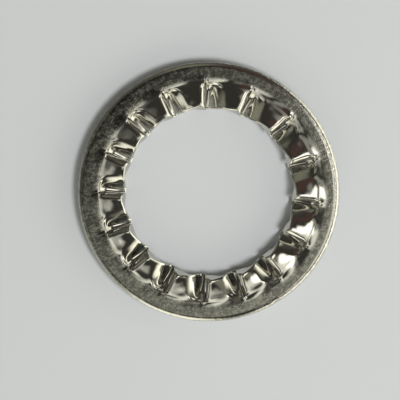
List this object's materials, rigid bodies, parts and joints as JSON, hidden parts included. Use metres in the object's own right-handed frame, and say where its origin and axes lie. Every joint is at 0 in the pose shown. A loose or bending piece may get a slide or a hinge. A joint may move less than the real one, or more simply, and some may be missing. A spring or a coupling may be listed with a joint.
{
  "type": "star washer",
  "caption": "Internal-tooth lock washer stamped from steel strip, with a flat rim and a ring of twisted teeth around its bore.",
  "frame": {"origin": "on the bore axis, half way through the thickness of the rim, which is also the middle of the box", "axes": "+Z along the bore axis; seen from +Z each tooth's clockwise edge is the raised one, and the slit next to +Y stands 1.6 degrees anticlockwise of +Y"},
  "size_m": [0.033, 0.033, 0.0028],
  "materials": {
    "washer": "tumbled stainless steel, satin rim and burnished teeth"
  },
  "bodies": {
    "root": {"washer": "washer"}
  },
  "joints": []
}
